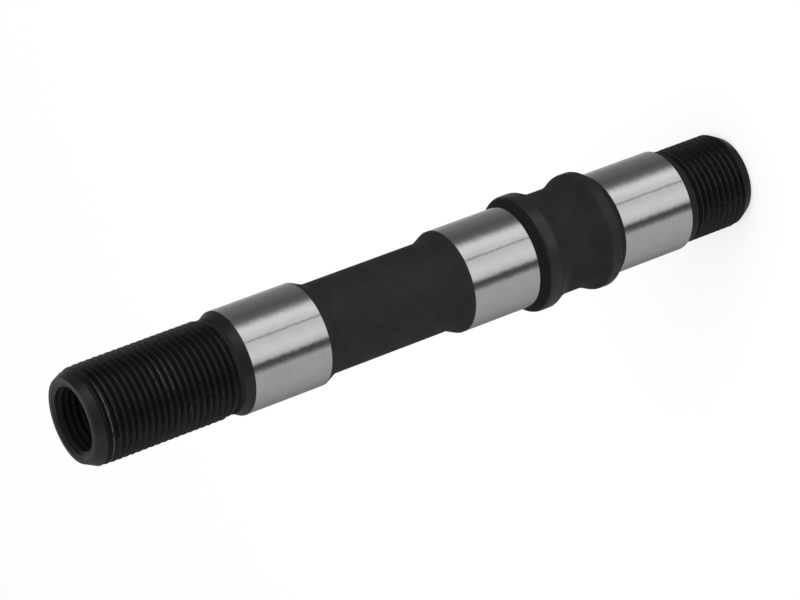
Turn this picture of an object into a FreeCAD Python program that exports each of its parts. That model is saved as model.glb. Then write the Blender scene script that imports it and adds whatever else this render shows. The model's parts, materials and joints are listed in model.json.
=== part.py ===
"""Hollow hub axle, turned from one steel bar, standing on its short threaded end.

The origin is the centre of the short end's face, and +Z runs up the axle to the long threaded end.
From the foot up: short thread, plain shank, foot seat, a spool of two collars, middle seat, waist,
upper seat, run-out groove and long thread. The bearings sit on the three ground seats of one diameter.
"""
import FreeCAD, Part
import math
import os

# Driving dimensions, in millimetres and degrees

# Threaded ends: fine outside thread, tapped bore, flat end face
thread_diameter = 14.0
end_face_diameter = 12.0
end_chamfer_angle = 30.0
short_thread_length = 9.7
long_thread_length = 21.4

# Plain shank between the short thread and the foot seat
shank_diameter = 13.95
shank_length = 1.9

# Ground bearing seats, all of one diameter
seat_diameter = 15.0
foot_seat_length = 12.3
middle_seat_length = 11.3
upper_seat_length = 12.5
seat_edge_chamfer = 0.3

# Spool: two collars with a hollowed neck between their crests
collar_diameter = 17.25
collar_shoulder_angle = 36.0
lower_crest_width = 1.6
upper_crest_width = 1.9
crest_gap = 8.6
neck_diameter = 15.15
neck_flank_angle = 26.0
neck_fillet_radius = 4.5
crest_inner_rounding = 1.25
crest_outer_rounding = 1.0

# Waist between the middle and upper seats, with a cone at each end
waist_diameter = 13.1
waist_span = 23.5
waist_cone_angle = 25.0
waist_fillet_radius = 1.8

# Shallow groove where the long thread runs out, and the cone up to the upper seat
runout_diameter = 13.65
runout_width = 1.6
runout_cone_angle = 30.0

# Bore: drilled through, opened and tapped at both ends
bore_diameter = 8.5
tap_drill_diameter = 9.0
tap_drill_depth = 22.0
drill_point_angle = 59.0
bore_mouth_diameter = 11.0
bore_mouth_angle = 60.0

# Two rounded corners closer than this meet with no straight side between them
shortest_side = 0.001


def rise(first_diameter, second_diameter, angle_from_axis):
    """Length along the axis of a cone between two diameters."""
    step = abs(second_diameter - first_diameter) / 2
    return step / math.tan(math.radians(angle_from_axis))


# Heights worked out from the foot up
end_chamfer_height = rise(end_face_diameter, thread_diameter, end_chamfer_angle)
collar_shoulder_height = rise(seat_diameter, collar_diameter, collar_shoulder_angle)
neck_flank_height = rise(neck_diameter, collar_diameter, neck_flank_angle)
waist_cone_height = rise(waist_diameter, seat_diameter, waist_cone_angle)
runout_cone_height = rise(runout_diameter, seat_diameter, runout_cone_angle)
bore_mouth_depth = rise(tap_drill_diameter, bore_mouth_diameter, bore_mouth_angle)
drill_point_height = rise(bore_diameter, tap_drill_diameter, drill_point_angle)

foot_seat_bottom = short_thread_length + shank_length
foot_seat_top = foot_seat_bottom + foot_seat_length
lower_crest_bottom = foot_seat_top + collar_shoulder_height
lower_crest_top = lower_crest_bottom + lower_crest_width
upper_crest_bottom = lower_crest_top + crest_gap
upper_crest_top = upper_crest_bottom + upper_crest_width
middle_seat_bottom = upper_crest_top + collar_shoulder_height
middle_seat_top = middle_seat_bottom + middle_seat_length
upper_seat_bottom = middle_seat_top + waist_span
upper_seat_top = upper_seat_bottom + upper_seat_length
runout_top = upper_seat_top + runout_cone_height + runout_width
axle_length = runout_top + long_thread_length


def corner(diameter, height, rounding=0.0):
    """A corner of the half section: its place, and the radius it is rounded to."""
    return FreeCAD.Vector(diameter / 2, 0, height), rounding


def short_end_corners():
    """Foot face, lead-in chamfer, short thread and plain shank."""
    return [
        corner(end_face_diameter, 0),
        corner(thread_diameter, end_chamfer_height),
        corner(thread_diameter, short_thread_length),
        corner(shank_diameter, short_thread_length),
        corner(shank_diameter, foot_seat_bottom),
    ]


def foot_seat_corners():
    """Foot seat, with a small chamfer on the edge that its bearing comes over."""
    return [
        corner(seat_diameter - 2 * seat_edge_chamfer, foot_seat_bottom),
        corner(seat_diameter, foot_seat_bottom + seat_edge_chamfer),
        corner(seat_diameter, foot_seat_top),
    ]


def spool_corners():
    """Two collars with coned shoulders, and the hollowed neck between them."""
    return [
        corner(collar_diameter, lower_crest_bottom, crest_outer_rounding),
        corner(collar_diameter, lower_crest_top, crest_inner_rounding),
        corner(neck_diameter, lower_crest_top + neck_flank_height, neck_fillet_radius),
        corner(neck_diameter, upper_crest_bottom - neck_flank_height, neck_fillet_radius),
        corner(collar_diameter, upper_crest_bottom, crest_inner_rounding),
        corner(collar_diameter, upper_crest_top, crest_outer_rounding),
    ]


def waist_corners():
    """Middle seat, coned waist and upper seat."""
    return [
        corner(seat_diameter, middle_seat_bottom),
        corner(seat_diameter, middle_seat_top),
        corner(waist_diameter, middle_seat_top + waist_cone_height, waist_fillet_radius),
        corner(waist_diameter, upper_seat_bottom - waist_cone_height, waist_fillet_radius),
        corner(seat_diameter, upper_seat_bottom),
        corner(seat_diameter, upper_seat_top),
    ]


def long_end_corners():
    """Cone down to the run-out groove, long thread, lead-in chamfer and top face."""
    return [
        corner(runout_diameter, upper_seat_top + runout_cone_height),
        corner(runout_diameter, runout_top),
        corner(thread_diameter, runout_top),
        corner(thread_diameter, axle_length - end_chamfer_height),
        corner(end_face_diameter, axle_length),
    ]


def bore_corners():
    """Inside of the axle from the top down: mouth, tapped length, drilled bore, and the same below."""
    return [
        corner(bore_mouth_diameter, axle_length),
        corner(tap_drill_diameter, axle_length - bore_mouth_depth),
        corner(tap_drill_diameter, axle_length - tap_drill_depth),
        corner(bore_diameter, axle_length - tap_drill_depth - drill_point_height),
        corner(bore_diameter, tap_drill_depth + drill_point_height),
        corner(tap_drill_diameter, tap_drill_depth),
        corner(tap_drill_diameter, bore_mouth_depth),
        corner(bore_mouth_diameter, 0),
    ]


def corner_edge(before, place, after, rounding):
    """Arc that rounds one corner, held within half of each side beside it."""
    inward = before - place
    outward = after - place
    half_angle = inward.getAngle(outward) / 2
    reach = min(rounding / math.tan(half_angle), inward.Length / 2, outward.Length / 2)
    radius = reach * math.tan(half_angle)
    inward.normalize()
    outward.normalize()
    bisector = inward + outward
    bisector.normalize()
    start = place + inward * reach
    end = place + outward * reach
    middle = place + bisector * (radius / math.sin(half_angle) - radius)
    return start, end, Part.Arc(start, middle, end).toShape()


def outline(corners):
    """Closed wire through the corners, with tangent arcs and the straight sides left between them."""
    edges = []
    pieces = []
    count = len(corners)
    for index, (place, rounding) in enumerate(corners):
        if rounding:
            before = corners[index - 1][0]
            after = corners[(index + 1) % count][0]
            pieces.append(corner_edge(before, place, after, rounding))
        else:
            pieces.append((place, place, None))
    for index, (start, end, arc) in enumerate(pieces):
        if arc:
            edges.append(arc)
        following = pieces[(index + 1) % count][0]
        if end.distanceToPoint(following) > shortest_side:
            edges.append(Part.LineSegment(end, following).toShape())
    return Part.Wire(edges)


def axle():
    """Half section turned once round the axle's own line."""
    outside = short_end_corners() + foot_seat_corners() + spool_corners() + waist_corners() + long_end_corners()
    section = Part.Face(outline(outside + bore_corners()))
    centre = FreeCAD.Vector(0, 0, 0)
    up = FreeCAD.Vector(0, 0, 1)
    full_turn = 360
    return section.revolve(centre, up, full_turn)


os.makedirs("parts", exist_ok=True)
shape = axle()
shape.exportStep("parts/axle.step")
print("length", round(axle_length, 3), "volume", round(shape.Volume, 1), "valid", shape.isValid(), len(shape.Solids))
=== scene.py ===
import json
import math

import bmesh
import bpy
import numpy as np
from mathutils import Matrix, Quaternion, Vector


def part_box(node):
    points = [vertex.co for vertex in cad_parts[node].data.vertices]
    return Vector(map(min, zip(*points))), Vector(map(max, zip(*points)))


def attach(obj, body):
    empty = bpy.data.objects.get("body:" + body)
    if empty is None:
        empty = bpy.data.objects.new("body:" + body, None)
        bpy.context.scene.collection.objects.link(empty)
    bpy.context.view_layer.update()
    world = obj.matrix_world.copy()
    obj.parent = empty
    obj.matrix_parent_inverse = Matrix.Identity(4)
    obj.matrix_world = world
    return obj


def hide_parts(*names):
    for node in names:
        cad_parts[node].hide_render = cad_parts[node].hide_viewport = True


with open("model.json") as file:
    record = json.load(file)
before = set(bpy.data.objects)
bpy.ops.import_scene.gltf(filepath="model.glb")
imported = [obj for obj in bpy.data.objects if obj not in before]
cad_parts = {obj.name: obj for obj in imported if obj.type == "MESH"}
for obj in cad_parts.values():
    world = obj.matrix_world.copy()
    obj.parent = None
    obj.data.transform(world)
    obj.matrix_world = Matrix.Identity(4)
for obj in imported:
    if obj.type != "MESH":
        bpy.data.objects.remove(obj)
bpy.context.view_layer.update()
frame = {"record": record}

# A hollow hub axle turned from one steel bar. It stands on its short threaded end, +Z runs up the axle,
# and the camera is rolled so that the axle lies across the picture, with its -X side low. One closed
# mesh stands for the CAD solid: it keeps to the same outline within 0.1 mm, and adds the turns of the
# outside and inside threads. Sizes are in millimetres and degrees up to the point where a mesh is made.

MM = 0.001
TURN = 2 * math.pi

# Outline between the mounts that the record gives
END_FACE_RADIUS = 6.05
SHANK_LENGTH = 1.9
SHANK_RADIUS = 6.975
SEAT_EDGE_CHAMFER = 0.3
COLLAR_RADIUS = 8.625
COLLAR_SHOULDER_ANGLE = 36.0
LOWER_CREST_WIDTH = 1.6
UPPER_CREST_WIDTH = 1.9
NECK_RADIUS = 7.575
NECK_FLANK_ANGLE = 26.0
NECK_FILLET = 4.5
CREST_INNER_ROUNDING = 1.25
CREST_OUTER_ROUNDING = 1.0
WAIST_RADIUS = 6.55
WAIST_CONE_ANGLE = 25.0
WAIST_FILLET = 1.8
RUNOUT_RADIUS = 6.825
RUNOUT_CONE_ANGLE = 30.0
BORE_RADIUS = 4.25
BORE_MOUTH_RADIUS = 5.5
BORE_MOUTH_ANGLE = 60.0
DRILL_POINT_ANGLE = 59.0

# How far the ground bands stop short of the seats' own ends, where those are free. At the collars they
# reach the end.
GROUND_SHORT_OF_EDGE = 0.14
GROUND_SHORT_OF_WAIST = 0.3
GROUND_SHORT_OF_CHAMFER = 0.06

# Width of the rounded strip between a shoulder and its crest that is as bright as the crest
CREST_ROUND_WIDTH = 0.3

# The seats' sharp edges are just broken
EDGE_BREAK = 0.12

# Threads: right-hand, one start. A start is the share of a turn by which the first crest is turned.
PITCH = 1.0
OUTSIDE_DEPTH = 0.6134
INSIDE_DEPTH = 0.5
LONG_THREAD_START = 0.43
SHORT_THREAD_START = 0.9
TAP_START = 0.29

# Heights over which a thread's depth grows, from nothing to full: on the lead-in chamfers, from their
# large ends, and past the threads' inner ends. The long thread's first crests are dressed lower: over
# how far, and by how much at its end.
LEAD_IN = (0.66, 0.2)
LEAD_TAPER = (2.0, 0.1)
LONG_RUNOUT = (0.35, 0.75)
SHORT_RUNOUT = (0.9, 0.4)
TAP_RUNOUT = (0.0, 1.5)

# Form of one turn: shares of the pitch from the middle of the crest, and the depth reached there
OUTSIDE_TURN = ((0.0, 0.0), (0.045, 0.0), (0.085, 0.07), (0.375, 0.88), (0.44, 0.98), (0.5, 1.0))
INSIDE_TURN = ((0.0, 0.0), (0.11, 0.0), (0.14, 0.05), (0.43, 0.95), (0.5, 1.0))

# Mesh: faces round the axle, degrees of a rounding per row, distance of points that are joined, and the
# angle from which an edge is sharp
COLUMNS = 120
ARC_STEP = 5.0
WELD = 1e-6
SHARP_ANGLE = 24.0

mounts = {mount["name"]: mount for mount in frame["record"]["mounts"]}
low_corner, high_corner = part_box("axle")
LENGTH = (high_corner.z - low_corner.z) / MM


def span(name):
    """Lowest height, highest height and radius of a round mount, in millimetres."""
    middle = mounts[name]["pos_m"][2] / MM
    half = mounts[name]["dims"]["length_mm"] / 2
    return middle - half, middle + half, mounts[name]["dims"]["r_mm"]


def rise(first_radius, second_radius, angle_from_axis):
    """Length along the axis of a cone between two radii."""
    return abs(second_radius - first_radius) / math.tan(math.radians(angle_from_axis))


foot_seat_low, foot_seat_high, SEAT_RADIUS = span("foot_bearing_seat")
middle_seat_low, middle_seat_high, _ = span("middle_bearing_seat")
upper_seat_low, upper_seat_high, _ = span("upper_bearing_seat")
short_thread_low, shank_high, THREAD_RADIUS = span("short_thread")
long_thread_low, long_thread_high, _ = span("long_thread")
_, tap_end_low, TAP_RADIUS = span("foot_bolt_thread")
tap_end_high, _, _ = span("upper_bolt_thread")

short_thread_high = shank_high - SHANK_LENGTH
cone_foot = upper_seat_high + rise(RUNOUT_RADIUS, SEAT_RADIUS, RUNOUT_CONE_ANGLE)
shoulder = rise(SEAT_RADIUS, COLLAR_RADIUS, COLLAR_SHOULDER_ANGLE)
neck_flank = rise(NECK_RADIUS, COLLAR_RADIUS, NECK_FLANK_ANGLE)
waist_cone = rise(WAIST_RADIUS, SEAT_RADIUS, WAIST_CONE_ANGLE)
mouth_depth = rise(TAP_RADIUS, BORE_MOUTH_RADIUS, BORE_MOUTH_ANGLE)
drill_point = rise(BORE_RADIUS, TAP_RADIUS, DRILL_POINT_ANGLE)
lower_crest = foot_seat_high + shoulder
upper_crest = middle_seat_low - shoulder
taper_foot = long_thread_high - LEAD_TAPER[0]
shank_low = short_thread_high + SHORT_RUNOUT[0]
runout_full = cone_foot + LONG_RUNOUT[1]

GROUND_BANDS = (
    (foot_seat_low + GROUND_SHORT_OF_CHAMFER, foot_seat_high),
    (middle_seat_low, middle_seat_high - GROUND_SHORT_OF_WAIST),
    (upper_seat_low + GROUND_SHORT_OF_EDGE, upper_seat_high - GROUND_SHORT_OF_EDGE),
)

SHOULDERS = (
    (foot_seat_high, lower_crest - CREST_ROUND_WIDTH),
    (upper_crest + CREST_ROUND_WIDTH, middle_seat_low),
)

# Numbers of the finishes, in the order in which make_axle gives them
BODY, GROUND, DARK = range(3)

angles = np.linspace(0, TURN, COLUMNS + 1)


def rounded(corners):
    """Outline through corners of (height, radius, rounding). A rounded corner is an arc that touches
    both sides: its centre lies on the bisector, at rounding / sin(half angle) from the corner."""
    points = []
    for index, (height, radius, rounding) in enumerate(corners):
        place = np.array([height, radius])
        if not rounding:
            points.append(place[None])
            continue
        before = np.array(corners[index - 1][:2]) - place
        after = np.array(corners[index + 1][:2]) - place
        reach_before, reach_after = np.linalg.norm(before), np.linalg.norm(after)
        before, after = before / reach_before, after / reach_after
        half = math.acos(float(before @ after)) / 2
        reach = min(rounding / math.tan(half), reach_before / 2, reach_after / 2)
        arc_radius = reach * math.tan(half)
        bisector = (before + after) / np.linalg.norm(before + after)
        centre = place + bisector * arc_radius / math.sin(half)
        first, last = place + before * reach - centre, place + after * reach - centre
        start = math.atan2(first[1], first[0])
        sweep = (math.atan2(last[1], last[0]) - start + math.pi) % TURN - math.pi
        steps = max(2, math.ceil(abs(math.degrees(sweep)) / ARC_STEP))
        turned = start + sweep * np.linspace(0, 1, steps + 1)
        points.append(centre + arc_radius * np.stack([np.cos(turned), np.sin(turned)], 1))
    return np.concatenate(points)


def cut_at(points, heights):
    """The outline with a point added on it at each of these heights."""
    extra = np.array([h for h in heights if points[0, 0] < h < points[-1, 0]])
    along = np.union1d(points[:, 0], extra)
    return np.stack([along, np.interp(along, points[:, 0], points[:, 1])], 1)


def rings(points):
    """Plain rows: each point of the outline is one level circle, with one height and one radius."""
    return np.repeat(points[:, 0:1], angles.size, 1), np.repeat(points[:, 1:2], angles.size, 1)


def turn_form(turn):
    """One whole turn of thread, mirrored about its crest: shares of the pitch from -0.5 to 0.5, and
    the depths there."""
    share, depth = np.array(turn).T
    return np.concatenate([-share[:0:-1], share]), np.concatenate([depth[:0:-1], depth])


def threaded(low, high, wall_low, wall_high, crest, depth, turn, start, fade=None):
    """Rows that climb with a right-hand thread between two heights.
    height = pitch * (turn number + share of the turn + start + angle / full circle), held between low
    and high.
    radius = crest radius - depth * form(share), but no further out than the wall, a straight line in
    height from wall_low to wall_high.
    A negative depth is an inside thread: it cuts outwards, and stays no further in than the wall.
    fade = (height where the thread is gone, height where it is full) makes the depth grow between."""
    share, form = turn_form(turn)
    # Turns enough to reach past both heights at every angle
    first = math.floor(low / PITCH) - 2
    last = math.ceil(high / PITCH) + 1
    starts = np.arange(first, last + 1)[:, None] + share[None, :-1]
    turned = start + angles[None, :] / TURN
    heights = np.clip(PITCH * (starts.reshape(-1, 1) + turned), low, high)
    phase = (heights / PITCH - turned + 0.5) % 1 - 0.5
    cut = depth * np.interp(phase, share, form)
    if fade:
        gone, full = fade
        grown = np.clip((heights - gone) / (full - gone), 0, 1)
        cut = cut * grown * grown * (3 - 2 * grown)
    wall = np.interp(heights, (low, high), (wall_low, wall_high))
    if depth > 0:
        return heights, np.minimum(wall, crest - cut)
    return heights, np.maximum(wall, crest - cut)


def outside_zones():
    """Zones of the outer side from the foot up: rows of heights and radii."""
    short = (THREAD_RADIUS, OUTSIDE_DEPTH, OUTSIDE_TURN, SHORT_THREAD_START)
    long = (THREAD_RADIUS, OUTSIDE_DEPTH, OUTSIDE_TURN, LONG_THREAD_START)
    short_lead = (short_thread_low - LEAD_IN[0], short_thread_low - LEAD_IN[1])
    short_end = (shank_low, short_thread_high + SHORT_RUNOUT[1])
    long_end = (cone_foot + LONG_RUNOUT[0], runout_full)
    long_lead = (long_thread_high + LEAD_IN[0], long_thread_high + LEAD_IN[1])
    lead_radius = THREAD_RADIUS - LEAD_TAPER[1]
    body = [
        (shank_low, SHANK_RADIUS, 0),
        (shank_high, SHANK_RADIUS, 0),
        (shank_high, SEAT_RADIUS - SEAT_EDGE_CHAMFER, 0),
        (foot_seat_low, SEAT_RADIUS, 0),
        (foot_seat_high, SEAT_RADIUS, 0),
        (lower_crest, COLLAR_RADIUS, CREST_OUTER_ROUNDING),
        (lower_crest + LOWER_CREST_WIDTH, COLLAR_RADIUS, CREST_INNER_ROUNDING),
        (lower_crest + LOWER_CREST_WIDTH + neck_flank, NECK_RADIUS, NECK_FILLET),
        (upper_crest - UPPER_CREST_WIDTH - neck_flank, NECK_RADIUS, NECK_FILLET),
        (upper_crest - UPPER_CREST_WIDTH, COLLAR_RADIUS, CREST_INNER_ROUNDING),
        (upper_crest, COLLAR_RADIUS, CREST_OUTER_ROUNDING),
        (middle_seat_low, SEAT_RADIUS, 0),
        (middle_seat_high, SEAT_RADIUS, EDGE_BREAK),
        (middle_seat_high + waist_cone, WAIST_RADIUS, WAIST_FILLET),
        (upper_seat_low - waist_cone, WAIST_RADIUS, WAIST_FILLET),
        (upper_seat_low, SEAT_RADIUS, EDGE_BREAK),
        (upper_seat_high, SEAT_RADIUS, EDGE_BREAK),
        (cone_foot, RUNOUT_RADIUS, 0),
    ]
    outline = rounded(body)
    # The shank ends in a step: two points at one height
    step = np.flatnonzero(np.diff(outline[:, 0]) <= 0)[0] + 1
    limits = [height for band in GROUND_BANDS + SHOULDERS for height in band]
    return [
        rings(np.array([(0.0, BORE_MOUTH_RADIUS), (0.0, END_FACE_RADIUS)])),
        threaded(0.0, short_thread_low, END_FACE_RADIUS, THREAD_RADIUS, *short, short_lead),
        threaded(short_thread_low, short_thread_high, THREAD_RADIUS, THREAD_RADIUS, *short, short_end),
        threaded(short_thread_high, shank_low, SHANK_RADIUS, SHANK_RADIUS, *short, short_end),
        rings(outline[:step]),
        rings(cut_at(outline[step:], limits)),
        threaded(cone_foot, long_thread_low, RUNOUT_RADIUS, RUNOUT_RADIUS, *long, long_end),
        threaded(long_thread_low, taper_foot, THREAD_RADIUS, THREAD_RADIUS, *long),
        threaded(taper_foot, long_thread_high, THREAD_RADIUS, lead_radius, *long),
        threaded(long_thread_high, LENGTH, lead_radius, END_FACE_RADIUS, *long, long_lead),
    ]


def inside_zones():
    """Zones of the bore from the foot up: mouth, tapped length, drilled bore, and the same above."""
    inside = (TAP_RADIUS, -INSIDE_DEPTH, INSIDE_TURN, TAP_START)
    low_fade = (tap_end_low - TAP_RUNOUT[0], tap_end_low - TAP_RUNOUT[1])
    high_fade = (tap_end_high + TAP_RUNOUT[0], tap_end_high + TAP_RUNOUT[1])
    drill_low, drill_high = tap_end_low + drill_point, tap_end_high - drill_point
    return [
        threaded(0.0, mouth_depth, BORE_MOUTH_RADIUS, TAP_RADIUS, *inside),
        threaded(mouth_depth, tap_end_low, TAP_RADIUS, TAP_RADIUS, *inside, low_fade),
        rings(np.array([(drill_low, BORE_RADIUS), (drill_high, BORE_RADIUS)])),
        threaded(tap_end_high, LENGTH - mouth_depth, TAP_RADIUS, TAP_RADIUS, *inside, high_fade),
        threaded(LENGTH - mouth_depth, LENGTH, TAP_RADIUS, BORE_MOUTH_RADIUS, *inside),
    ]


def finish_of_rows(heights, outer_rows):
    """Number of the finish on each row of faces: blacked body, ground seat or dark blacked end. The
    dark finish is on both threaded ends as far as the seats, in the bore, and on the collars'
    shoulders."""
    ground = np.any([(heights > low) & (heights < high) for low, high in GROUND_BANDS], 0)
    ends = (heights < foot_seat_low) | (heights > upper_seat_high - GROUND_SHORT_OF_EDGE)
    shoulders = np.any([(heights > low) & (heights < high) for low, high in SHOULDERS], 0)
    return np.where(outer_rows & ground, GROUND, np.where(outer_rows & ~ends & ~shoulders, BODY, DARK))


def axle_mesh():
    """One closed surface of turning over rows and columns:
    point = (radius * cos(angle), radius * sin(angle), height).
    The rows run up the outside and back down the bore, and the last meets the first at the foot's
    mouth."""
    outer, inner = outside_zones(), inside_zones()
    heights = np.concatenate([zone[0] for zone in outer] + [zone[0][::-1] for zone in inner[::-1]])
    radii = np.concatenate([zone[1] for zone in outer] + [zone[1][::-1] for zone in inner[::-1]])
    points = np.stack([radii * np.cos(angles), radii * np.sin(angles), heights], -1) * MM
    rows, columns = heights.shape
    corner = np.arange(rows * columns).reshape(rows, columns)
    below, above = corner[:-1], corner[1:]
    faces = np.stack([below[:, :-1], below[:, 1:], above[:, 1:], above[:, :-1]], -1).reshape(-1, 4)
    middle = (heights[:-1, 0] + heights[1:, 0]) / 2
    outer_rows = np.arange(rows - 1) < sum(len(zone[0]) for zone in outer)
    mesh = bpy.data.meshes.new("axle_turned")
    mesh.from_pydata(points.reshape(-1, 3), [], faces)
    finishes = np.repeat(finish_of_rows(middle, outer_rows), columns - 1)
    mesh.polygons.foreach_set("material_index", finishes)
    mesh.polygons.foreach_set("use_smooth", np.ones(len(faces), bool))
    weld(mesh)
    return mesh


def weld(mesh):
    """Joins the seam, and the rows that the threads' ends press together, into one closed skin."""
    shape = bmesh.new()
    shape.from_mesh(mesh)
    bmesh.ops.remove_doubles(shape, verts=shape.verts, dist=WELD)
    bmesh.ops.dissolve_degenerate(shape, edges=shape.edges, dist=WELD)
    bmesh.ops.triangulate(shape, faces=[f for f in shape.faces if len(f.verts) > 4])
    shape.to_mesh(mesh)
    shape.free()
    mesh.set_sharp_from_angle(angle=math.radians(SHARP_ANGLE))


class Socket:
    """An output socket of a node tree. Arithmetic on it, with numbers or other sockets, adds Math
    nodes."""

    def __init__(self, tree, socket):
        self.tree, self.socket = tree, socket

    def math(self, operation, *others):
        inputs = dict(enumerate((self, *others)))
        return self.tree.add("ShaderNodeMath", {"operation": operation}, inputs)

    def __add__(self, other):
        return self.math("ADD", other)

    def __mul__(self, other):
        return self.math("MULTIPLY", other)

    def __sub__(self, other):
        return self.math("SUBTRACT", other)

    def __truediv__(self, other):
        return self.math("DIVIDE", other)

    def __neg__(self):
        return self.math("MULTIPLY", -1.0)

    def __rsub__(self, other):
        return self.math("MULTIPLY", -1.0) + other

    __radd__, __rmul__ = __add__, __mul__

    def step(self, low, high):
        """0 below low, 1 above high, and smooth between them."""
        return self.tree.add("ShaderNodeMapRange", {"interpolation_type": "SMOOTHSTEP"},
                             {"Value": self, "From Min": low, "From Max": high})


class Tree:
    """The node tree of a material or of the world."""

    def __init__(self, owner):
        owner.use_nodes = True
        self.nodes, self.links = owner.node_tree.nodes, owner.node_tree.links
        self.nodes.clear()

    def add(self, kind, settings=None, inputs=None, output=0):
        """A node of that kind, its settings first and then the values or links of its sockets. Returns
        one output, or the node itself where it has none."""
        node = self.nodes.new(kind)
        for name, value in (settings or {}).items():
            if name == "stops":
                self.set_stops(node.color_ramp, value)
            else:
                setattr(node, name, value)
        for name, value in (inputs or {}).items():
            if isinstance(value, Socket):
                self.links.new(value.socket, node.inputs[name])
            else:
                node.inputs[name].default_value = value
        return Socket(self, node.outputs[output]) if node.outputs else node

    @staticmethod
    def set_stops(ramp, stops):
        """Gives a ramp its stops of (position, grey level)."""
        while len(ramp.elements) > 1:
            ramp.elements.remove(ramp.elements[-1])
        for index, (position, level) in enumerate(stops):
            element = ramp.elements.new(position) if index else ramp.elements[0]
            element.position = position
            element.color = (level, level, level, 1)

    def blend(self, factor, first, second):
        """Mixes two colours."""
        return self.add("ShaderNodeMix", {"data_type": "RGBA"}, {0: factor, 6: first, 7: second}, 2)

    def place(self, scale=(1, 1, 1)):
        """Object coordinates in millimetres, stretched by a scale along each axis."""
        coordinates = self.add("ShaderNodeTexCoord", output="Object")
        stretch = tuple(s / MM for s in scale)
        return self.add("ShaderNodeVectorMath", {"operation": "MULTIPLY"}, {0: coordinates, 1: stretch})

    def noise(self, place, scale, detail=2.0, roughness=0.5):
        """Noise from 0 to 1 whose largest blotches are about 1 / scale millimetres across."""
        return self.add("ShaderNodeTexNoise", inputs={"Vector": place, "Scale": scale, "Detail": detail,
                                                      "Roughness": roughness})

    def bump(self, relief, height):
        """Normal of a surface that stands up by this height where its relief is 1."""
        inputs = {"Strength": 1.0, "Distance": height, "Height": relief}
        return self.add("ShaderNodeBump", inputs=inputs)

    def split(self, vector):
        """The three parts of a vector."""
        first = self.add("ShaderNodeSeparateXYZ", inputs={0: vector})
        return [Socket(self, output) for output in first.socket.node.outputs]

    def radius(self, place):
        """Distance from the axle's own line."""
        x, y, _ = self.split(place)
        return (x * x + y * y).math("SQRT")

    def between(self, place, low, high, soft=0.02):
        """1 between two heights, 0 elsewhere, and smooth over twice the soft length at both."""
        height = self.split(place)[2]
        return height.step(low - soft, low + soft) - height.step(high - soft, high + soft)

    def finish(self, inputs):
        """Ends the tree in one Principled shader with these inputs."""
        shader = self.add("ShaderNodeBsdfPrincipled", inputs=inputs)
        self.add("ShaderNodeOutputMaterial", inputs={"Surface": shader})


# Black body: its two shades, how far its grain stands up, and how far towards -X its low side, as seen
# in the picture, begins and is reached
BLACK = (0.0066, 0.0066, 0.0068, 1)
BLACK_PALE = (0.0126, 0.0126, 0.0126, 1)
BLACK_GRAIN = 0.1 * MM
BODY_LOW_SIDE = (2.0, 8.0)

# Smooth strips on the collars: how far the upper one keeps off its crest's inner edge, how far it
# spreads down the flank on the low side, and how softly each of them ends
UPPER_STRIP_INSET = 0.35
FLANK_STRIP_REACH = 1.7
UPPER_STRIP_SOFT, LOWER_STRIP_SOFT, FLANK_STRIP_SOFT = 0.12, 0.3, 1.2


def smooth_crests(tree, place, cloud):
    """1 on the collars' crests, patchy with the cloud. On the low side the upper crest's gloss spreads
    down its flank, and the lower crest has its full gloss only there."""
    low_side = (-tree.split(place)[0]).step(*BODY_LOW_SIDE)
    upper_foot, lower_top = upper_crest - UPPER_CREST_WIDTH, lower_crest + LOWER_CREST_WIDTH
    inner, outer = upper_foot + UPPER_STRIP_INSET, upper_crest + CREST_ROUND_WIDTH
    upper = tree.between(place, inner, outer, UPPER_STRIP_SOFT)
    lower = tree.between(place, lower_crest, lower_top, LOWER_STRIP_SOFT)
    flank = tree.between(place, upper_foot - FLANK_STRIP_REACH, upper_crest, FLANK_STRIP_SOFT)
    crests = upper.math("MAXIMUM", flank * low_side * 0.85) + lower * (low_side * 0.5 + 0.5)
    return crests * (cloud.step(0.3, 0.55) * 0.5 + 0.6)


def black_body():
    """Dull black phosphate on waist, neck and collars: fine crystal grain and cloudy patches, smoother
    on the crests."""
    material = bpy.data.materials.new("black_phosphate")
    tree = Tree(material)
    place = tree.place()
    grain = tree.noise(place, 9.0, 3.0, 0.65)
    cloud = tree.noise(place, 0.35, 4.0, 0.6)
    crests = smooth_crests(tree, place, cloud)
    neck = tree.between(place, foot_seat_high, middle_seat_low) - crests
    colour = tree.blend(cloud.step(0.3, 0.75) * 0.7 + grain * 0.3, BLACK, BLACK_PALE)
    rough = 0.66 + grain * 0.12 + neck * 0.10 - crests * 0.35
    bump = tree.bump(grain * 0.1 + cloud, BLACK_GRAIN)
    tree.finish({"Base Color": colour, "Roughness": rough, "Normal": bump, "IOR": 1.48})
    return material


# Oiled black: its two shades, the deepest black of threads, shank and shoulders, which in the bore is
# painted shade, the paler end faces and lips, which are a painted highlight, the rubbed bare steel, and
# how far its grain stands up
OILED = (0.0036, 0.0036, 0.0038, 1)
OILED_PALE = (0.0062, 0.0062, 0.0064, 1)
# Deepest black: on threads, shank and shoulders, and in the bore as painted shade
DEEPEST_BLACK = (0.0028, 0.0028, 0.0029, 1)
# Paleness of the end faces and lips: a painted highlight
FACE_HIGHLIGHT = (0.036, 0.036, 0.036, 1)
RUBBED = (0.42, 0.41, 0.40, 1)
OILED_GRAIN = 0.1 * MM

# How far towards -X the threads' low side, where they are duller, begins and is reached
THREAD_LOW_SIDE = (3.5, 6.5)

# Where the long thread's crests were knocked, and how far from there the nicks are thick and then gone
KNOCK_PLACE = (1.2, -6.9, 98.6)
KNOCK_REACH = (1.1, 3.1)

# The long thread's first crest: how far below the chamfer it starts and ends, and how far towards +X its
# rubbed line begins to fade and is gone
FIRST_CREST = (0.95, 0.35)
FIRST_CREST_END = (1.6, 3.0)

# How far under the crests' radius a thread begins to count as crest, and counts in full
CREST_SKIN = (0.05, 0.005)

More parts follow.
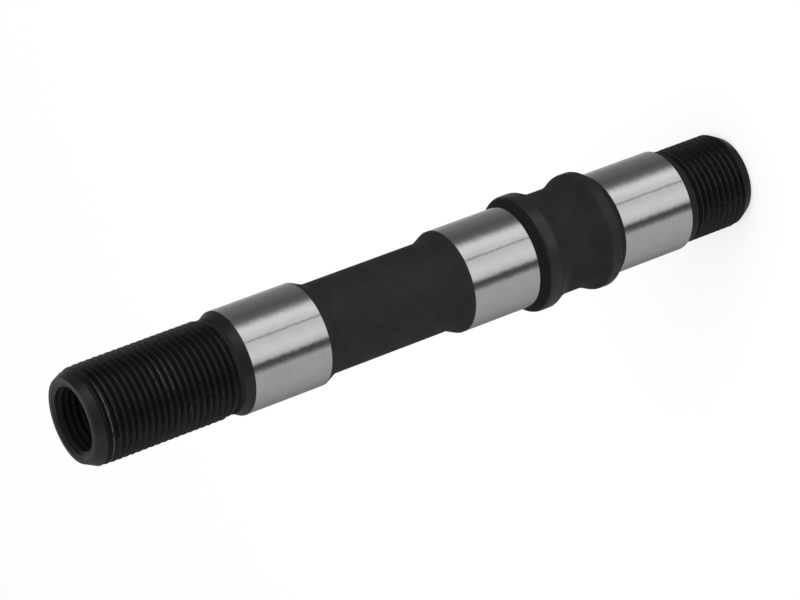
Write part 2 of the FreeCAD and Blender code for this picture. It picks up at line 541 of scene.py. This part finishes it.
# The bore's mouths: how softly their edge ends, and how far past it their pale lip passes into the
# deepest black, which in the bore is painted shade
MOUTH_SOFT = 0.02
LIP = (0.1, 0.26)


def bore_wall(radius, height):
    """1 on the bore's wall, past the pale lips of its mouths; the deepest black that it brings there is
    painted shade. On a mouth's cone, radius + depth * tan(mouth angle) is the mouth's own radius, and it
    grows further in."""
    depth = LENGTH / 2 - (height - LENGTH / 2).math("ABSOLUTE")
    past_mouth = (radius + depth * math.tan(math.radians(BORE_MOUTH_ANGLE))) - BORE_MOUTH_RADIUS
    inside = 1 - radius.step(BORE_MOUTH_RADIUS - MOUTH_SOFT, BORE_MOUTH_RADIUS + MOUTH_SOFT)
    return inside * past_mouth.step(*LIP)


def nicked_crests(tree, place, threads, patch, grain):
    """Share of bare steel on the threads' crests: thick round the knocked place, rare elsewhere, and a
    thin rubbed line along the long thread's first crest. Crests that are dressed lower count in full
    too, because what was taken off them is added to their radius again."""
    x, _, height = tree.split(place)
    dressed = (height - taper_foot).math("MAXIMUM", 0.0) * (LEAD_TAPER[1] / LEAD_TAPER[0])
    skin_low, skin_high = THREAD_RADIUS - CREST_SKIN[0], THREAD_RADIUS - CREST_SKIN[1]
    crest = threads * (tree.radius(place) + dressed).step(skin_low, skin_high)
    ends = {0: place, 1: KNOCK_PLACE}
    knock = 1 - tree.add("ShaderNodeVectorMath", {"operation": "DISTANCE"}, ends, 1).step(*KNOCK_REACH)
    nicks = (knock * 0.38 + patch.step(0.58, 0.70) * 0.06) * grain.step(0.49, 0.60)
    first_low, first_high = long_thread_high - FIRST_CREST[0], long_thread_high - FIRST_CREST[1]
    first = tree.between(place, first_low, first_high) * (1 - x.step(*FIRST_CREST_END))
    rubbed = first * patch.step(0.46, 0.56) * grain.step(0.35, 0.55) * 0.13
    return crest * (nicks + rubbed)


def painted_face_highlight(x, radius, bore, plus_x_side, patch):
    """Painted highlight that makes the end faces and the mouths' lips pale, most on the +X side, with a
    little random patchiness. Towards either end of
    X the pale ring reaches further in, and on the +X side its outer edge is sharper."""
    across = x.math("ABSOLUTE") / radius
    inner = radius.step(TAP_RADIUS + 0.3 - across * 0.6, BORE_MOUTH_RADIUS + 0.2 - across * 0.9)
    outer = radius.step(END_FACE_RADIUS + 0.02, END_FACE_RADIUS + 0.3 - plus_x_side * 0.22)
    return (inner - outer) * (1 - bore) * (plus_x_side * 0.56 + patch * 0.16 + 0.06)


def black_oiled():
    """Darker, smoother black on the threaded ends and shoulders. It is deepest in threads, shank and
    shoulders and, as painted shade, in the bore, with bare steel where crests are nicked, and a painted
    highlight that makes the end faces and the mouths' lips paler, most on the +X side."""
    material = bpy.data.materials.new("black_oiled")
    tree = Tree(material)
    place = tree.place()
    x, _, height = tree.split(place)
    radius = tree.radius(place)
    grain = tree.noise(place, 5.0, 3.0, 0.6)
    patch = tree.noise(place, 0.42, 1.0)
    lumps = tree.noise(place, 1.5, 2.0)
    long_thread = tree.between(place, cone_foot, long_thread_high)
    threads = long_thread + tree.between(place, short_thread_low, short_thread_high)
    shank = tree.between(place, shank_low, foot_seat_low)
    groove = tree.between(place, cone_foot, runout_full)
    (low, high), (under, top) = SHOULDERS
    shoulders = tree.between(place, low, high) + tree.between(place, under, top)
    bore = bore_wall(radius, height)
    nicks = nicked_crests(tree, place, threads, patch, grain)
    plus_x_side = x.step(-END_FACE_RADIUS, END_FACE_RADIUS)
    low_side = (-x).step(*THREAD_LOW_SIDE)
    deepest_outside = (threads + shank + shoulders) * radius.step(BORE_MOUTH_RADIUS, END_FACE_RADIUS)
    tone = tree.blend(grain, OILED, OILED_PALE)
    # The deepest black on threads, shank and shoulders, and in the bore as painted shade
    tone = tree.blend(deepest_outside.math("MAXIMUM", bore), tone, DEEPEST_BLACK)
    # A painted highlight: paler end faces and mouths' lips, most on the +X side
    tone = tree.blend(painted_face_highlight(x, radius, bore, plus_x_side, patch), tone, FACE_HIGHLIGHT)
    colour = tree.blend(nicks, tone, RUBBED)
    plain = shank * (plus_x_side * 0.6 + 0.5) + groove
    rough = 0.27 + grain * 0.16 + plain * 0.35 + shoulders * 0.5 + bore * 0.3 + threads * low_side * 0.2
    bump = tree.bump(grain * 0.1 + lumps * (threads * 0.9 + 0.1), OILED_GRAIN)
    inputs = {"Base Color": colour, "Metallic": nicks, "Roughness": rough, "Normal": bump, "IOR": 1.5}
    tree.finish(inputs)
    return material


# Ground steel: its two shades, and how far its grinding lines stand up
STEEL = (0.635, 0.635, 0.63, 1)
STEEL_DULL = (0.58, 0.575, 0.565, 1)
GRINDING_RELIEF = 0.02 * MM


def ground_steel():
    """Bare ground steel: hair-fine grinding lines that run round the axle, faint blotches and a soft
    gloss."""
    material = bpy.data.materials.new("ground_steel")
    tree = Tree(material)
    lines = tree.noise(tree.place((0.12, 0.12, 9.0)), 1.0, 3.0, 0.7)
    bands = tree.noise(tree.place((0.05, 0.05, 1.1)), 1.0, 2.0)
    blotch = tree.noise(tree.place(), 0.5, 3.0)
    waves = tree.noise(tree.place((0.7, 0.7, 1.3)), 1.0, 2.0)
    colour = tree.blend(lines.step(0.3, 0.8) * 0.5 + blotch.step(0.35, 0.8) * 0.5, STEEL, STEEL_DULL)
    rough = 0.075 + lines * 0.04 + bands * 0.03
    bump = tree.bump(lines * 0.04 + waves, GRINDING_RELIEF)
    tree.finish({"Base Color": colour, "Roughness": rough, "Normal": bump, "Metallic": 1.0})
    return material


def make_axle():
    """The turned axle, in place of the CAD solid."""
    axle = bpy.data.objects.new("axle_turned", axle_mesh())
    bpy.context.scene.collection.objects.link(axle)
    for finish in (black_body(), ground_steel(), black_oiled()):
        axle.data.materials.append(finish)
    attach(axle, "root")
    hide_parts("axle")
    return axle


# Studio. The walls stand round the axle as seen in its ground bands: azimuth from the camera's side (0)
# towards -X, in degrees, and how white the wall is there. A narrow gap parts the two white walls, and
# darker gaps end them.
WALLS = (
    (-180, 0.34), (-160, 0.45), (-138, 0.27), (-112, 0.18), (-88, 0.12), (-74, 0.18), (-68, 0.36),
    (-60, 0.80), (-54, 0.98), (-46, 0.98), (-38, 0.86), (-29, 0.80),
    (-26.5, 0.16),
    (-24, 0.74), (-4, 0.88), (2, 0.92), (12, 0.85), (20, 0.68),
    (25, 0.22), (28, 0.08), (34, 0.10), (38, 0.18), (46, 0.51), (84, 0.48), (118, 0.39),
    (142, 0.27), (160, 0.22), (180, 0.34),
)

# The ceiling and the ground straight below: elevations where they begin and are reached, and how much
# darker they are. The shade where a camera stands: angles from its middle, the same way.
CEILING_RISE = (42.0, 57.0)
CEILING_DARK = 0.92
GROUND_FALL = (50.0, 75.0)
GROUND_DARK = 0.65
CAMERA_SHADE = (28.0, 8.0)
CAMERA_SHADE_DARK = 0.8
CAMERA_SHADE_ELEVATION = 30.0

# Strength of the world for matt surfaces. The floor: half its width in metres, its paint, and how much
# of its white is its own
AMBIENT = 0.78
FLOOR_HALF = 3.0
FLOOR_WHITE = (0.93, 0.93, 0.93, 1)
FLOOR_GLOW = 0.7
WHITE = (1, 1, 1, 1)


def seen_rays(tree):
    """1 for the rays that show a background: the camera's, glossy ones and those through glass. Then
    1 for glossy rays alone."""
    rays = tree.add("ShaderNodeLightPath", output="Is Camera Ray").socket.node.outputs
    camera, glossy = Socket(tree, rays["Is Camera Ray"]), Socket(tree, rays["Is Glossy Ray"])
    through = Socket(tree, rays["Is Transmission Ray"])
    return camera.math("MAXIMUM", glossy).math("MAXIMUM", through), glossy


def make_world():
    """White all round for the camera. Mirrors see its walls and the gaps between them, a dark ceiling,
    a duller ground straight below and the shade where a camera stands."""
    world = bpy.data.worlds.new("studio")
    bpy.context.scene.world = world
    tree = Tree(world)
    direction = tree.add("ShaderNodeTexCoord", output="Generated")
    x, y, z = tree.split(direction)
    azimuth = (-x).math("ARCTAN2", -y)
    stops = [((degrees + 180) / 360, level) for degrees, level in WALLS]
    walls = tree.add("ShaderNodeValToRGB", {"stops": stops}, {0: azimuth / TURN + 0.5})
    ceiling = z.step(*(math.sin(math.radians(angle)) for angle in CEILING_RISE))
    underfoot = (-z).step(*(math.sin(math.radians(angle)) for angle in GROUND_FALL))
    up = math.radians(CAMERA_SHADE_ELEVATION)
    toward = z * math.sin(up) - y * math.cos(up)
    shade = toward.step(*(math.cos(math.radians(angle)) for angle in CAMERA_SHADE))
    level = walls * (1 - ceiling * CEILING_DARK) * (1 - underfoot * GROUND_DARK)
    level = level * (1 - shade * CAMERA_SHADE_DARK)
    seen, glossy = seen_rays(tree)
    strength = (seen * (1 - AMBIENT) + AMBIENT) * (1 - glossy + glossy * level)
    light = tree.add("ShaderNodeBackground", inputs={"Color": WHITE, "Strength": strength})
    tree.add("ShaderNodeOutputWorld", inputs={"Surface": light})


def make_floor():
    """A plain pale floor under the foot. Part of its white is its own, so that the shadow on it stays
    faint."""
    mesh = bpy.data.meshes.new("floor")
    corners = [(x * FLOOR_HALF, y * FLOOR_HALF, 0) for x, y in ((-1, -1), (1, -1), (1, 1), (-1, 1))]
    mesh.from_pydata(corners, [], [(0, 1, 2, 3)])
    floor = bpy.data.objects.new("floor", mesh)
    bpy.context.scene.collection.objects.link(floor)
    material = bpy.data.materials.new("floor_paint")
    tree = Tree(material)
    matt = tree.add("ShaderNodeBsdfDiffuse", inputs={"Color": FLOOR_WHITE})
    glow = tree.add("ShaderNodeEmission", inputs={"Color": WHITE, "Strength": 1.0})
    seen, _ = seen_rays(tree)
    mixed = tree.add("ShaderNodeMixShader", inputs={0: seen * FLOOR_GLOW, 1: matt, 2: glow})
    tree.add("ShaderNodeOutputMaterial", inputs={"Surface": mixed})
    mesh.materials.append(material)
    floor.visible_glossy = False


def make_lamp(name, azimuth, elevation, distance, size, watts):
    """A soft square lamp that faces the axle's middle, with sizes in metres. Azimuth 0 is the camera's
    side, and it grows towards -X."""
    data = bpy.data.lights.new(name, "AREA")
    data.size = size
    data.energy = watts
    lamp = bpy.data.objects.new(name, data)
    bpy.context.scene.collection.objects.link(lamp)
    around, up = math.radians(azimuth), math.radians(elevation)
    toward = Vector((-math.sin(around) * math.cos(up), -math.cos(around) * math.cos(up), math.sin(up)))
    lamp.location = Vector((0, 0, LENGTH * MM / 2)) + toward * distance
    lamp.rotation_mode = "QUATERNION"
    lamp.rotation_quaternion = toward.to_track_quat("Z", "Y")
    lamp.visible_glossy = False


# Camera: where it looks, and from where
CAMERA_AIM = (-0.199, 0.019, 57.861)
CAMERA_DISTANCE = 513.4
CAMERA_AZIMUTH = 0.037
CAMERA_ELEVATION = 28.204
CAMERA_ROLL = -110.496
LENS = 165.85
SENSOR_WIDTH = 36.0


def make_camera():
    """The photograph's camera, rolled so that the axle lies across the picture, its long end near."""
    data = bpy.data.cameras.new("camera")
    data.lens = LENS
    data.sensor_width = SENSOR_WIDTH
    camera = bpy.data.objects.new("camera", data)
    bpy.context.scene.collection.objects.link(camera)
    around, up = math.radians(CAMERA_AZIMUTH), math.radians(CAMERA_ELEVATION)
    back = Vector((math.sin(around) * math.cos(up), -math.cos(around) * math.cos(up), math.sin(up)))
    level = (-back).to_track_quat("-Z", "Y")
    camera.location = (Vector(CAMERA_AIM) + back * CAMERA_DISTANCE) * MM
    camera.rotation_mode = "QUATERNION"
    camera.rotation_quaternion = level @ Quaternion((0, 0, 1), math.radians(CAMERA_ROLL))
    bpy.context.scene.camera = camera


make_axle()
make_floor()
make_world()
make_lamp("lamp_above", azimuth=-20, elevation=62, distance=0.7, size=0.5, watts=3.0)
make_camera()
bpy.context.scene.view_settings.view_transform = "Standard"
